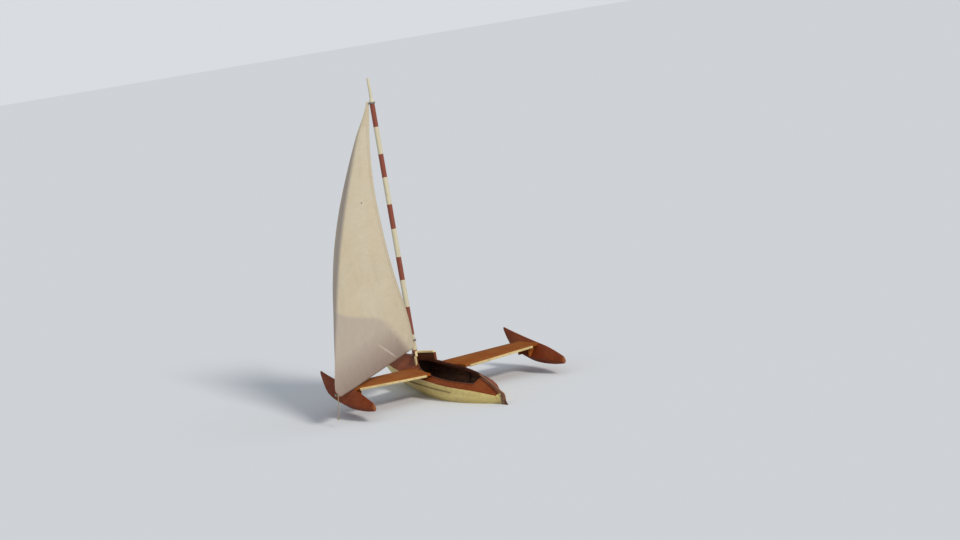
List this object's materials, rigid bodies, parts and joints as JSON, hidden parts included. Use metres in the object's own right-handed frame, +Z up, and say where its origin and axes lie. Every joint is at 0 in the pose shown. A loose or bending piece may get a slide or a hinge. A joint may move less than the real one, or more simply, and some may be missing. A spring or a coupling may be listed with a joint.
{
  "type": "sailing dinghy",
  "caption": "Small home-built trimaran sailing dinghy: slim V-decked cockpit hull, outrigger floats on board wings, banded mast, one loose-footed sail.",
  "frame": {"origin": "amidships on the centreline, at the waterline of the boat afloat", "axes": "+X towards the bow, +Y to port, +Z up"},
  "size_m": [3.345, 2.9514, 4.0649],
  "materials": {
    "hull_paint": "cream gloss paint on planks",
    "deck_paint": "rust red gloss paint",
    "wing_paint": "rust red paint",
    "white_paint": "off-white gloss paint",
    "mast_paint": "off-white and red bands of paint",
    "sailcloth": "plain cream woven cloth",
    "fittings": "dull galvanised",
    "dark_wood": "dark oiled wood",
    "inside_wood": "dark stained wood",
    "varnished_wood": "brown varnish"
  },
  "bodies": {
    "boat": {"aft_bulkhead": "inside_wood", "aft_deck_port": "deck_paint", "aft_deck_starboard": "deck_paint", "bilge_strake_port": "hull_paint", "bilge_strake_starboard": "hull_paint", "bottom_plank_port": "hull_paint", "bottom_plank_starboard": "hull_paint", "coaming_port": "varnished_wood", "coaming_starboard": "varnished_wood", "cockpit_floor": "inside_wood", "cockpit_frame": "inside_wood", "float_deck_port": "deck_paint", "float_deck_starboard": "deck_paint", "float_hull_port": "deck_paint", "float_hull_starboard": "deck_paint", "fore_bulkhead": "inside_wood", "foredeck_port": "deck_paint", "foredeck_starboard": "deck_paint", "gudgeons": "fittings", "keel": "hull_paint", "mast": "mast_paint", "mast_collar": "varnished_wood", "mast_step": "inside_wood", "rubbing_strips": "dark_wood", "seat": "varnished_wood", "side_deck_port": "deck_paint", "side_deck_starboard": "deck_paint", "splash_cap_port": "white_paint", "splash_cap_starboard": "white_paint", "splash_post_port": "varnished_wood", "splash_post_starboard": "varnished_wood", "stem": "hull_paint", "sternpost": "hull_paint", "top_strake_port": "hull_paint", "top_strake_starboard": "hull_paint", "wing_bearers_port": "wing_paint", "wing_bearers_starboard": "wing_paint", "wing_brackets_port": "wing_paint", "wing_brackets_starboard": "wing_paint", "wing_edge_port": "white_paint", "wing_edge_starboard": "white_paint", "wing_port": "wing_paint", "wing_starboard": "wing_paint"},
    "sail": {"sail": "sailcloth", "head_ring": "fittings", "tack_ring": "fittings", "clew_ring": "fittings"},
    "rudder": {"rudder_head": "varnished_wood", "rudder_pin": "fittings", "rudder_blade": "varnished_wood", "tiller": "varnished_wood"}
  },
  "joints": [
    {"name": "sail_swing", "type": "hinge", "parent": "boat", "child": "sail", "pos_m": [0.552, 0, 0], "axis": [0.0115, 0, 0.9999], "range_deg": [0, 104]},
    {"name": "rudder_steer", "type": "hinge", "parent": "boat", "child": "rudder", "pos_m": [-1.595, 0, 0], "axis": [0, 0, 1], "range_deg": [-35, 35]}
  ]
}
